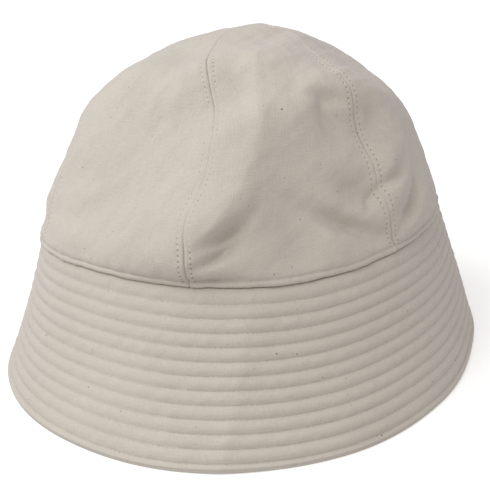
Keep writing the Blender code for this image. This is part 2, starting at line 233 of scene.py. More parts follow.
BRIM_STEPS = 480
BRIM_JOIN = 210             # the angle at which the brim's cloth is joined
BRIM_SLOPE = 0.072          # length of the slope from the seam to the edge
CLOTH_GAP = 0.0003          # air under the crown's hem
CLOTH_TUCK = 0.0003         # the brim starts this far in under the crown's hem
RIB_DROP = 0.18             # the first rib is this share wider, so the others lie below the solids'
RIB_POINTS, UNDER_POINTS = 8, 4          # rows of the mesh to a rib, on the outer and the under face
RIB_HEIGHT, RIB_GROOVE = 0.00100, -0.00060
UNDER_HEIGHT, UNDER_GROOVE = 0.00070, -0.00035
UNDER_TURN = 7              # the under face's puckers run this far round from the outer face's
UNDER_START = 0.03          # share of the slope where the under face meets the stand
RIB_PUCKER = 0.00012
FIRST_LEAST, FIRST_DROP = 0.0001, 0.0003         # the first rib's lift, and its drop by the seam
LAST_RISE, LAST_FALL, LAST_FALL_FROM = 0.00110, 0.0001, 0.6
EDGE_TURNS = (0, 30, 60, 90, 120, 150, 180)      # points round the brim's rolled edge

# The brim's pressed crease: its angle at the seam, and how far that turns by the edge.
CREASE_TOP, CREASE_TURN = 44.5, -8.5
CREASE_HEIGHT, CREASE_REACH = 0.0018, 0.010
CREASE_START = 0.15         # share of the slope over which the crease rises from the seam

# Where the ribs are fuller or flatter round the brim: by which share, at which angle, how far.
Fullness = namedtuple("Fullness", "share angle reach")
FULLNESS = (Fullness(-0.28, 5, 20), Fullness(0.42, 52, 28))

# The brim's stand inside the crown: how far its faces lie inside the seam, then the rows over
# its top, each with its lift off the crown's outer face and its place along the cloth.
STAND_OUTER, STAND_INNER = 0.0023, 0.0040
StandRow = namedtuple("StandRow", "up lift length")
STAND = (
    StandRow(0.0035, -0.0040, 0.156),
    StandRow(0.0068, -0.0038, 0.159),
    StandRow(0.0070, -0.0031, 0.160),
    StandRow(0.0066, -0.0024, 0.161),
)

# Flat sizes of the brim: its slope with its stand and turned edge, and the stand by itself.
STAND_WIDTH, STAND_GIRTH = 0.007, 0.59

# Places in the cloth's texture, so that no two pieces show the same part of it.
PANEL_SHIFT, BRIM_SHIFT = 0.37, 3.1
TEXTURE_RADIUS = 0.108      # the brim's mean radius, which turns angles into lengths
EDGE_LENGTH = 0.001         # length of cloth to a radian of the rolled edge
UNDER_LENGTH, STAND_FOOT_LENGTH = 0.150, 0.152


def smooth(places, values, at):
    """A cubic curve through a table's rows, with each row's slope taken from its neighbours."""
    places, values = np.asarray(places, float), np.asarray(values, float)
    last = len(places) - 1
    slopes = np.empty(last + 1)
    slopes[1:-1] = (values[2:] - values[:-2]) / (places[2:] - places[:-2])
    slopes[0] = (values[1] - values[0]) / (places[1] - places[0])
    slopes[-1] = (values[-1] - values[-2]) / (places[-1] - places[-2])
    row = np.clip(np.searchsorted(places, at, side="right") - 1, 0, last - 1)
    span = places[row + 1] - places[row]
    f = (at - places[row]) / span
    rise = f * f * (3 - 2 * f)
    bend = f * (1 - f) ** 2 * span * slopes[row] + f * f * (f - 1) * span * slopes[row + 1]
    return values[row] + rise * (values[row + 1] - values[row]) + bend


def around(column, angle):
    """A column of SECTIONS at any angle, closing smoothly on itself."""
    count = len(SECTIONS)
    places = [360 * (i // count) + SECTIONS[i % count].angle for i in range(-2, count + 3)]
    values = [getattr(SECTIONS[i % count], column) for i in range(-2, count + 3)]
    return smooth(places, values, np.asarray(angle, float) % 360)


def ring(column, up):
    """A column of RINGS at any distance up the crown."""
    return smooth([r.up for r in RINGS], [getattr(r, column) for r in RINGS], np.asarray(up, float))


def seam_angle(name, up):
    """Angle of a crown seam at any distance up the crown."""
    return smooth(SEAM_UPS, SEAMS[name], np.asarray(up, float))


def polar(radius, angle, height):
    """Points about the seam's centre."""
    turn = np.radians(angle)
    return np.stack(np.broadcast_arrays(radius * np.sin(turn), -radius * np.cos(turn), height), -1)


def seam_height(angle):
    return BRIM_HEIGHT + around("seam_rise", angle)


def unit(vectors):
    return vectors / np.maximum(np.linalg.norm(vectors, axis=-1, keepdims=True), 1e-12)


def bell(distance, width):
    return np.exp(-(distance / width) ** 2)


def near(angle, middle, reach):
    """1 at the middle angle, fading to 0 over the reach, round the circle."""
    return bell((np.asarray(angle, float) - middle + 180) % 360 - 180, reach)


# --- the crown's surface ---
def crown_form(angle, up):
    """Points of the crown's outer face without its folds."""
    angle, up = np.broadcast_arrays(np.asarray(angle, float), np.asarray(up, float))
    back = polar(-1.0, LEAN_ANGLE, 0.0)
    right = polar(1.0, LEAN_ANGLE + 90, 0.0)
    fade = np.maximum(0, 1 - up / RISE_FADE_UP) ** 2
    height = BRIM_HEIGHT + ring("height", up) + fade * around("seam_rise", angle)
    point = polar(ring("reach", up) * around("seam_radius", angle), angle, height)
    point[..., 2] -= (point @ back) * np.tan(np.radians(ring("tilt", up)))
    swell = ring("rear", up) * np.maximum(0, -np.cos(np.radians(angle - LEAN_ANGLE))) ** 1.5
    facing = np.pi / 2 * up / TIP_UP
    point += polar(swell * np.cos(facing), angle, swell * np.sin(facing))
    return point + right * ring("right", up)[..., None] + back * ring("back", up)[..., None]


def crown_normal(angle, up):
    """Outward normals of the crown's form, over small steps to either side."""
    turn, rise = 0.5, 0.0005
    up = np.clip(up, rise, TIP_UP - 4 * rise)
    across = crown_form(angle + turn, up) - crown_form(angle - turn, up)
    along = crown_form(angle, up + rise) - crown_form(angle, up - rise)
    return unit(np.cross(across, along))


def fold_height(angle, up):
    """Height of all the folds together over the crown's form."""
    total = 0
    radius = ring("reach", up) * around("seam_radius", angle)
    for fold in FOLDS + FINE_FOLDS:
        side = np.radians((angle - fold.angle + 180) % 360 - 180) * radius
        rise = up - fold.up
        lean = math.radians(fold.turn)
        lengthwise = rise * math.cos(lean) + side * math.sin(lean)
        crosswise = side * math.cos(lean) - rise * math.sin(lean)
        across = np.abs(crosswise / fold.width) ** fold.crest
        total = total + fold.depth * np.exp(-((lengthwise / fold.length) ** 2 + across) / 2)
    return total * (1 - np.exp(-(np.asarray(up, float) / HEM_HOLD) ** 2))


def crown_point(angle, up, lift=0.0):
    """Points of the crown, lifted off its outer face; lift is an array or a number."""
    angle, up = np.broadcast_arrays(np.asarray(angle, float), np.asarray(up, float))
    lift = fold_height(angle, up) + lift
    return crown_form(angle, up) + lift[..., None] * crown_normal(angle, up)


RIPPLES = np.random.RandomState(7).uniform(-1, 1, (24, 4))


def ripple(points, wavelength):
    """A seeded sum of waves through space, about -1 to 1."""
    total = 0
    for x, y, z, phase in RIPPLES:
        direction = np.array((x, y, z))
        total = total + np.sin(points @ direction * (2 * np.pi / wavelength) + phase * np.pi)
    return total / 6


def unevenness(points, ripples):
    return sum(height * ripple(points, wavelength) for height, wavelength in ripples)


# How plainly each seam shows along its way up: pressed flat where it is low.
SHOW_UPS = (0.000, 0.014, 0.024, 0.034, 0.060, 0.085, 0.105, 0.145)
SHOW = {
    "front": (1.0, 1.0, 0.3, 0.05, 0.1, 0.9, 0.35, 0.2),
    "right": (0.9, 0.8, 0.5, 0.5, 1.0, 0.8, 0.5, 0.4),
}
PLAIN_SHOW = (0.9, 0.9, 0.8, 0.7, 0.8, 0.8, 0.6, 0.4)


def seam_show(name, up):
    return np.interp(up, SHOW_UPS, SHOW.get(name, PLAIN_SHOW))


def seam_relief(distance):
    """Lift of the cloth by its distance from a crown seam: groove, padded allowance, stitched row."""
    groove = SEAM_GROOVE * bell(distance, GROOVE_WIDTH)
    padding = SEAM_PADDING / (1 + np.exp((distance - ALLOWANCE) / PADDING_EDGE))
    stitched = ROW_DIP * bell(distance - STITCH_OFFSET, ROW_DIP_WIDTH)
    return groove + padding + stitched


def hem_relief(up, angle):
    """Lift of the cloth by its distance up from the hem: turned edge, lip, stitched row, puckers."""
    turned = HEM_EDGE * bell(up, HEM_EDGE_WIDTH)
    share = up / HEM_LIP_WIDTH
    lip = HEM_LIP * np.sqrt(np.clip(4 * share * (1 - share), 0, 1))
    stitched = HEM_DIP * bell(up - HEM_STITCH_UP, HEM_DIP_WIDTH)
    pucker = np.sin(np.radians(angle) * 88 + 2 * np.sin(np.radians(angle) * 13))
    return turned + lip + stitched + HEM_PUCKER * pucker * bell(up - PUCKER_UP, PUCKER_WIDTH)


# --- meshes ---
def make_object(name, points, faces, material, uvs=None):
    """A mesh object from points about the seam's centre, moved to the frame."""
    mesh = bpy.data.meshes.new(name)
    mesh.from_pydata((points + SEAM_CENTRE).tolist(), [], [list(face) for face in faces])
    if uvs is not None:
        layer = mesh.uv_layers.new(name="cloth")
        corners = np.empty(len(mesh.loops), dtype=np.int32)
        mesh.loops.foreach_get("vertex_index", corners)
        layer.data.foreach_set("uv", uvs[corners].astype(np.float32).ravel())
    mesh.shade_smooth()
    mesh.set_sharp_from_angle(angle=math.radians(60))
    mesh.materials.append(material)
    piece = bpy.data.objects.new(name, mesh)
    bpy.context.scene.collection.objects.link(piece)
    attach(piece, "root")
    return piece


def grid_faces(rows, columns, start=0, flip=False, wrap=False):
    """Quads of a grid of points numbered row by row; wrap closes each row on itself."""
    faces = []
    for row in range(rows - 1):
        for column in range(columns - (0 if wrap else 1)):
            after = (column + 1) % columns
            a, b = start + row * columns + column, start + row * columns + after
            quad = (a, b, b + columns, a + columns)
            faces.append(quad[::-1] if flip else quad)
    return faces


def panel_grid(panel, ups):
    """Angles of a panel's grid, each point's distance along its row, and the rows' widths."""
    low, high = seam_angle(panel.from_seam, ups), seam_angle(panel.to_seam, ups)
    high = np.where(high < low, high + 360, high)
    shares = np.linspace(0, 1, SEARCH_COLUMNS)
    angles = low[:, None] + (high - low)[:, None] * shares
    points = crown_point(angles, ups[:, None])
    steps = np.linalg.norm(np.diff(points, axis=1), axis=2)
    arcs = np.concatenate([np.zeros((len(ups), 1)), np.cumsum(steps, axis=1)], axis=1)
    grid, from_edge, widths = [], [], arcs[:, -1]
    for row in range(len(ups)):
        width = widths[row]
        edge = EDGE_DISTANCES * min(1, EDGE_SHARE * width / EDGE_DISTANCES[-1])
        middle = np.linspace(edge[-1], width - edge[-1], MIDDLE_COLUMNS + 2)[1:-1]
        places = np.concatenate([edge, middle, width - edge[::-1]])
        grid.append(np.interp(places, arcs[row], angles[row]))
        from_edge.append(places)
    return np.array(grid), np.array(from_edge), widths


def panel_surface(angles, ups, distance, show=1.0):
    """Outer face of the crown with its fine relief."""
    relief = show * seam_relief(distance) + hem_relief(ups, angles)
    base = crown_point(angles, ups)
    handled = 1 + HANDLED_MORE * near(angles, HANDLED_ANGLE, HANDLED_REACH)
    uneven = unevenness(base, CROWN_SLACK) + handled * unevenness(base, CROWN_RIPPLES)
    return crown_point(angles, ups, relief + uneven)


def make_panel(panel, material):
    even_rows = round((TIP_UP - EVEN_UP) / CROWN_STEP)
    ups = np.concatenate([HEM_UPS, np.linspace(EVEN_UP, TIP_UP - TIP_STOP, even_rows)])
    angles, places, widths = panel_grid(panel, ups)
    rows, columns = angles.shape
    distance = np.minimum(places, widths[:, None] - places)
    up_grid = np.broadcast_to(ups[:, None], angles.shape)
    shows = seam_show(panel.from_seam, up_grid), seam_show(panel.to_seam, up_grid)
    show = np.where(places < widths[:, None] / 2, *shows)
    outer = panel_surface(angles, up_grid, distance, show)
    allowance = ALLOWANCE_WALL / (1 + np.exp((distance - ALLOWANCE) / ALLOWANCE_EDGE))
    turned = INNER_HEM * bell(up_grid, INNER_HEM_WIDTH)
    inner = crown_point(angles, up_grid, -WALL - allowance + turned)
    points = np.concatenate([outer.reshape(-1, 3), inner.reshape(-1, 3)])
    count = rows * columns
    faces = grid_faces(rows, columns) + grid_faces(rows, columns, count, flip=True)
    rim = list(range(columns))
    rim += [row * columns + columns - 1 for row in range(1, rows)]
    rim += [count - 1 - column for column in range(1, columns)]
    rim += [row * columns for row in range(rows - 2, 0, -1)]
    for here, after in zip(rim, rim[1:] + rim[:1]):
        faces.append((after, here, here + count, after + count))
    uvs = np.stack([places - widths[:, None] / 2, up_grid], -1).reshape(-1, 2)
    uvs = np.concatenate([uvs, uvs]) + PANELS.index(panel) * PANEL_SHIFT
    piece = make_object(panel.name + "_cloth", points, faces, material, uvs)
    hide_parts(panel.name)
    return piece


# --- the brim ---
def close_texture(piece, size, girth):
    """Lets the cloth coordinates run on over the last column of quads of a closed loft."""
    mesh = piece.data
    corners = np.empty(len(mesh.loops), dtype=np.int32)
    mesh.loops.foreach_get("vertex_index", corners)
    layer = mesh.uv_layers["cloth"].data
    uvs = np.empty(2 * len(mesh.loops), dtype=np.float32)
    layer.foreach_get("uv", uvs)
    over = ((np.arange(len(corners)) // 4) % size == size - 1) & (corners % size == 0)
    uvs[0::2][over] += girth
    layer.foreach_set("uv", uvs)


def brim_point(angle, share, lift=0.0):
    """Points of the brim, lifted off its slope."""
    angle, share, lift = np.broadcast_arrays(*(np.asarray(v, float) for v in (angle, share, lift)))
    seam = polar(around("seam_radius", angle), angle, seam_height(angle))
    edge = polar(around("edge_radius", angle), angle, 0.0)
    slope = edge - seam
    flat = np.linalg.norm(slope[..., :2], axis=-1)
    radius = np.linalg.norm(seam[..., :2], axis=-1)
    fall = -slope[..., 2]
    outward = unit(np.stack([seam[..., 0] * fall, seam[..., 1] * fall, radius * flat], -1))
    bow = 4 * share * (1 - share) * around("bow", angle)
    swing = np.radians((angle - CREASE_TOP - CREASE_TURN * share + 180) % 360 - 180)
    crease = CREASE_HEIGHT * np.exp(-np.abs(swing) * radius / CREASE_REACH)
    crease = crease * np.clip(share / CREASE_START, 0, 1)
    return seam + slope * share[..., None] + outward * (bow + crease + lift)[..., None]


def rib_relief(band, angle, height=RIB_HEIGHT, groove=RIB_GROOVE):
    """Lift of the quilted brim by its place among the ribs, which counts them from the seam.

    The puckers' waves have whole numbers of turns round the cap, so they close on themselves.
    """
    rib = np.floor(band)
    within = band - rib
    puff = 4 * within * (1 - within)
    turn = np.radians(angle)
    wave = np.sin(turn * 71 + rib * 2.4 + 3.0 * within + 2.5 * np.sin(turn * 9 + rib))
    wave = wave * (0.6 + 0.4 * np.sin(turn * 5 + rib * 1.7)) + 0.5 * np.sin(turn * 37 - rib * 1.1)
    fullness = 1 + sum(row.share * near(angle, row.angle, row.reach) for row in FULLNESS)
    return groove + height * fullness * puff + RIB_PUCKER * wave * puff


def rib_share(place):
    """Share of the slope at a place among the ribs."""
    return BAND_PITCH * (place + RIB_DROP if place >= 1 else place * (1 + RIB_DROP))


def outer_lift(band, angle, end):
    """Lift of the brim's outer face; the last rib runs out into the rolled edge at end."""
    if band > BRIM_BANDS - 1:
        within = (band - (BRIM_BANDS - 1)) / (end / BAND_PITCH - RIB_DROP - (BRIM_BANDS - 1))
        rise = RIB_GROOVE + LAST_RISE * min(1, 2.0 * within) ** 0.8
        fall = max(0, within - LAST_FALL_FROM) / (1 - LAST_FALL_FROM)
        return rise - LAST_FALL * fall ** 2
    base = brim_point(angle, rib_share(band))
    lift = rib_relief(band, angle) + unevenness(base, BRIM_RIPPLES)
    if band < 0.5:
        # the first rib has no groove of its own: it starts flush under the hem
        lift = np.maximum(lift, FIRST_LEAST) - (1 - band / 0.5) * FIRST_DROP
    return lift


def brim_rings(angle):
    """Rings of the brim's closed section, and each one's place along the cloth.

    They run down the outer face from the stand, round the rolled edge, up the under face and
    over the stand's top.
    """
    radius, hem = around("seam_radius", angle), seam_height(angle) - CLOTH_GAP
    rings = [polar(radius - STAND_OUTER, angle, hem), polar(radius - CLOTH_TUCK, angle, hem)]
    lengths = [0.0, 0.0]
    end = 1 - BRIM_WALL / 2 / BRIM_SLOPE
    for step in range(1, BRIM_BANDS * RIB_POINTS):
        share = rib_share(step / RIB_POINTS)
        if share >= end:
            break
        rings.append(brim_point(angle, share, outer_lift(step / RIB_POINTS, angle, end)))
        lengths.append(share * BRIM_SLOPE)
    nose = brim_point(angle, end, -BRIM_WALL / 2)
    out = unit(brim_point(angle, end, 0.0) - nose)
    down = unit(brim_point(angle, 1.0, -BRIM_WALL / 2) - nose)
    for turn in np.radians(EDGE_TURNS):
        point = nose + (out * math.cos(turn) + down * math.sin(turn)) * (BRIM_WALL / 2)
        point[:, 2] = np.maximum(point[:, 2], 0.0)
        rings.append(point)
        lengths.append(BRIM_SLOPE + EDGE_LENGTH * turn)
    for step in range(BRIM_BANDS * UNDER_POINTS, 0, -1):
        band = step / UNDER_POINTS
        share = rib_share(band)
        if UNDER_START < share < end:
            relief = rib_relief(band, angle + UNDER_TURN, UNDER_HEIGHT, UNDER_GROOVE)
            rings.append(brim_point(angle, share, -BRIM_WALL - relief))
            lengths.append(UNDER_LENGTH - share * BRIM_SLOPE)
    rings.append(polar(radius - STAND_INNER, angle, hem))
    lengths.append(STAND_FOOT_LENGTH)
    for row in STAND:
        rings.append(crown_point(angle, row.up, row.lift))
        lengths.append(row.length)
    return rings, lengths


def brim_area(angle):
    """Flat area of the brim's slope, summed over two bands of triangles."""
    area = 0.0
    for upper, lower in ((0.0, 0.5), (0.5, 1.0)):
        a, b = brim_point(angle, upper), brim_point(angle, lower)
        a2, b2 = np.roll(a, -1, axis=0), np.roll(b, -1, axis=0)
        for crossed in (np.cross(a2 - a, b - a), np.cross(b2 - b, a2 - b)):
            area += float(np.linalg.norm(crossed, axis=1).sum() / 2)
    return area


def make_brim(material):
    angle = BRIM_JOIN + np.arange(BRIM_STEPS) * 360 / BRIM_STEPS
    rings, lengths = brim_rings(angle)
    count, size = len(rings), BRIM_STEPS
    faces = grid_faces(count, size, flip=True, wrap=True)
    last = (count - 1) * size
    for column in range(size):
        after = (column + 1) % size
        faces.append((column, after, last + after, last + column))
    girth = np.radians(angle) * TEXTURE_RADIUS
    uvs = [np.stack([girth, np.full(size, length)], -1) for length in lengths]
    uvs = np.concatenate(uvs) + BRIM_SHIFT
    piece = make_object("brim_cloth", np.concatenate(rings), faces, material, uvs)
    close_texture(piece, size, 2 * math.pi * TEXTURE_RADIUS)
    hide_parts("brim")
    mean_girth = float(2 * np.pi * around("edge_radius", angle).mean())
    round(brim_area(angle) + STAND_WIDTH * STAND_GIRTH, 4)
    return piece


# --- stitching ---
# A row is the path of its stitches on the cloth, the cloth's normals there, and how plainly it
# shows, from 0 to 1. Grains are many small spindles of one size, each with its own axes.
Row = namedtuple("Row", "path normals show")
Grains = namedtuple("Grains", "middle along up across length width thickness")
GRAIN_ENDS = ((-0.30, 0.85), (0.30, 0.85))     # places along a grain, and its girth there
GRAIN_DIP = 0.35            # a grain's tips dip by this share of its thickness
THREAD_SIDES, HOLE_SHADE_SIDES = 5, 6
STITCH_LENGTH, STITCH_WIDTH, STITCH_SINK = 0.00175, 0.00055, 0.00004
# the spindles of painted shade that stand for the shadow in each needle hole
HOLE_SHADE_LENGTH, HOLE_SHADE_WIDTH, HOLE_SHADE_THICKNESS = 0.00160, 0.00095, 0.00022
FLAT_SINK = 0.00022         # stitches lie this much deeper where their row doesn't show
LOOK_AHEAD = 0.0004         # a row's direction is taken over this far to either side
ROW_FOOT, ROW_TOP = 0.0007, 0.005        # how far from a seam's two ends its rows start and stop
ROW_PLACES = 160
ROUND_ANGLES = np.linspace(0, 360, 721)
HEM_SHOW, BRIM_SHOW = 0.3, 0.1
CLEAR_OF_SEAMS = 0.02       # a distance from the crown's seams at which they have no relief
BRIM_ROW_LIFT, UNDER_ROW_SINK = -0.00056, 0.00030


def stitches(row):
    """The sewn stitches of a row, and between each two a dark spindle of painted shade for the
    needle's hole.
    """
    steps = np.linalg.norm(np.diff(row.path, axis=0), axis=1)
    arc = np.concatenate([[0], np.cumsum(steps)])

    def sample(values, at):
        return np.stack([np.interp(at, arc, values[:, k]) for k in range(3)], -1)

    def placed(at, sink):
        tangent = unit(sample(row.path, at + LOOK_AHEAD) - sample(row.path, at - LOOK_AHEAD))
        normal = unit(sample(row.normals, at))
        depth = sink + FLAT_SINK * (1 - np.interp(at, arc, row.show))
        middle = sample(row.path, at) - normal * depth[:, None]
        return middle, tangent, normal, unit(np.cross(normal, tangent))

    centres = np.arange(STITCH_PITCH / 2, arc[-1], STITCH_PITCH)
    middle, tangent, normal, side = placed(centres, STITCH_SINK)
    threads = Grains(middle, tangent, normal, side, STITCH_LENGTH, STITCH_WIDTH, STITCH_WIDTH)
    middle, tangent, normal, side = placed(centres + STITCH_PITCH / 2, 0.0)
    hole_shades = Grains(middle, side, normal, tangent, HOLE_SHADE_LENGTH, HOLE_SHADE_WIDTH, HOLE_SHADE_THICKNESS)
    return threads, hole_shades


def grain_mesh(groups, sides):
    """One mesh of many small spindles."""
    points, faces = [], []
    base = 0
    turns = np.arange(sides) * 2 * np.pi / sides
    size = 2 * sides + 2
    pattern = []
    for k in range(sides):
        after = (k + 1) % sides
        pattern.append((0, 1 + after, 1 + k))
        pattern.append((1 + k, 1 + after, 1 + sides + after, 1 + sides + k))
        pattern.append((1 + sides + k, 1 + sides + after, 2 * sides + 1))
    for grain in groups:
        count = len(grain.middle)
        block = np.empty((count, size, 3))
        tip, dip = grain.along * grain.length / 2, grain.up * grain.thickness * GRAIN_DIP
        block[:, 0], block[:, -1] = grain.middle - tip - dip, grain.middle + tip - dip
        for number, (place, girth) in enumerate(GRAIN_ENDS):
            for k, turn in enumerate(turns):
                sideways = grain.across * math.cos(turn) * grain.width
                offset = sideways + grain.up * math.sin(turn) * grain.thickness
                centre = grain.middle + grain.along * place * grain.length
                block[:, 1 + number * sides + k] = centre + offset * girth / 2
        for number in range(count):
            start = base + number * size
            faces.extend(tuple(start + i for i in face) for face in pattern)
        points.append(block.reshape(-1, 3))
        base += count * size
    return np.concatenate(points), faces


def crown_seam_rows():
    """The two rows of topstitching beside each crown seam."""
    rows = []
    ups = np.linspace(ROW_FOOT, TIP_UP - ROW_TOP, ROW_PLACES)
    for panel in PANELS:
        angles, places, widths = panel_grid(panel, ups)
        keep = widths > 3 * STITCH_OFFSET
        at = ups[keep]
        from_first = np.full(len(ups), STITCH_OFFSET)
        for seam, target in ((panel.from_seam, from_first), (panel.to_seam, widths - STITCH_OFFSET)):
            angle = np.array([np.interp(t, p, a) for t, p, a in zip(target, places, angles)])[keep]
            show = seam_show(seam, at)
            path = panel_surface(angle, at, np.full(len(at), STITCH_OFFSET), show)
            rows.append(Row(path, crown_normal(angle, at), show))
    return rows


def hem_rows():
    """The row of stitches round the crown's hem."""
    ups = np.full(len(ROUND_ANGLES), HEM_STITCH_UP)
    path = panel_surface(ROUND_ANGLES, ups, np.full(len(ups), CLEAR_OF_SEAMS))
    return [Row(path, crown_normal(ROUND_ANGLES, ups), np.full(len(ups), HEM_SHOW))]


def brim_rows(under=False):
    """The rows of stitches in the grooves of the brim's outer or under face."""
    rows = []
    for band in range(1, BRIM_BANDS):
        share = rib_share(band)
        path = brim_point(ROUND_ANGLES, share, UNDER_ROW_SINK - BRIM_WALL if under else BRIM_ROW_LIFT)
        normal = unit(brim_point(ROUND_ANGLES, share, 0.001) - brim_point(ROUND_ANGLES, share))
        rows.append(Row(path, -normal if under else normal, np.full(len(path), BRIM_SHOW)))
    return rows


def make_stitching(name, rows, thread_and_highlight, hole_shade):
    """A piece of sewn stitches, with a dark spindle of painted shade for the needle's hole between
    each two.
    """
    pairs = [stitches(row) for row in rows]
    points, faces = grain_mesh([threads for threads, hole_shades in pairs], THREAD_SIDES)
    hole_shade_points, hole_shade_faces = grain_mesh([hole_shades for threads, hole_shades in pairs], HOLE_SHADE_SIDES)
    shift = len(points)
    all_faces = faces + [tuple(i + shift for i in face) for face in hole_shade_faces]
    piece = make_object(name, np.concatenate([points, hole_shade_points]), all_faces, thread_and_highlight)
    piece.data.materials.append(hole_shade)
    index = np.zeros(len(piece.data.polygons), dtype=np.int32)
    index[len(faces):] = 1
    piece.data.polygons.foreach_set("material_index", index)
    return piece


# --- materials ---
CREAM = (0.660, 0.613, 0.528, 1.0)
CREAM_SHADE = (0.480, 0.442, 0.395, 1.0)
SEED = (0.150, 0.105, 0.070, 1.0)
# the thread's own cream, lightened a little above the canvas's to paint highlights on the stitches
THREAD_AND_HIGHLIGHT = (0.740, 0.700, 0.625, 1.0)
# painted shade: dark colour of the spindles that stand for the shadow in the needle holes
PAINTED_HOLE_SHADE = (0.360, 0.328, 0.280, 1.0)
SHEEN_TINT = (0.80, 0.77, 0.92, 1.0)

# The canvas's tone is a sum of broad mottling, fine grain and slubs; its relief is one of weave,
# slubs and grain. Noise scales are per metre.
MOTTLE_SCALE, SLUB_SCALE, GRAIN_SCALE = 28, 900, 1500
SLUB_SHORT, SLUB_LONG = 1.6, 0.25        # stretch of the slubs' noise across and along a thread
MOTTLE_TONE, GRAIN_TONE, SLUB_TONE, TONE_DROP = 0.4, 0.5, 0.4, 0.36
WEAVE_RELIEF, SLUB_RELIEF, GRAIN_RELIEF = 0.12, 0.7, 0.9
BUMP_STRENGTH, BUMP_DISTANCE = 0.75, 0.00030
THREAD_PERIOD = 0.001       # from one raised thread of the weave to the next

# Seed flecks: one at most in each cell of a grid, with the cells per metre, the largest fleck as
# a share of a cell, and the grid's shift.
Flecks = namedtuple("Flecks", "scale limit shift")
FLECKS = (Flecks(105, 0.062, 0.31), Flecks(240, 0.075, 1.7))
FLECK_EDGE = 0.35           # softness of a fleck's edge, as a share of the largest
FLECK_RARITY = 5.0          # the power that makes most flecks too small to show
FLECK_DARKNESS = 0.85
FLECK_STRETCH = (1.0, 1.35, 1.0)


class Nodes:
    """Small helper that adds and links nodes in one material."""

    def __init__(self, material):
        material.use_nodes = True
        self.tree = material.node_tree
        self.shader = self.tree.nodes["Principled BSDF"]

    def add(self, kind, **settings):
        """A new node, with its attributes and, for other names, its input sockets set."""
        node = self.tree.nodes.new(kind)
        for name, value in settings.items():
            if hasattr(node, name):
                setattr(node, name, value)
            else:
                node.inputs[name].default_value = value
        return node

    def link(self, source, target):
        self.tree.links.new(source, target)

    def math(self, operation, first, second, clamp=False):
        node = self.add("ShaderNodeMath", operation=operation, use_clamp=clamp)
        for socket, value in zip(node.inputs, (first, second)):
            if isinstance(value, (int, float)):
                socket.default_value = value
            else:
                self.link(value, socket)
        return node.outputs[0]

    def weighted(self, *terms):
        """A sum of outputs, each with its weight."""
        total = 0.0
        for output, weight in terms:
            total = self.math("ADD", self.math("MULTIPLY", output, weight), total)
        return total

    def clamped(self, value):
        return self.math("ADD", value, 0.0, clamp=True)

    def mixed(self, share, first, second):
        """A mix of two colours, of which the first may be another node's output."""
        node = self.add("ShaderNodeMix", data_type="RGBA")
        colours = [socket for socket in node.inputs if socket.type == "RGBA"]
        if isinstance(first, bpy.types.NodeSocket):
            self.link(first, colours[0])
        else:
            colours[0].default_value = first
        colours[1].default_value = second
        self.link(share, node.inputs["Factor"])
        return [socket for socket in node.outputs if socket.type == "RGBA"][0]


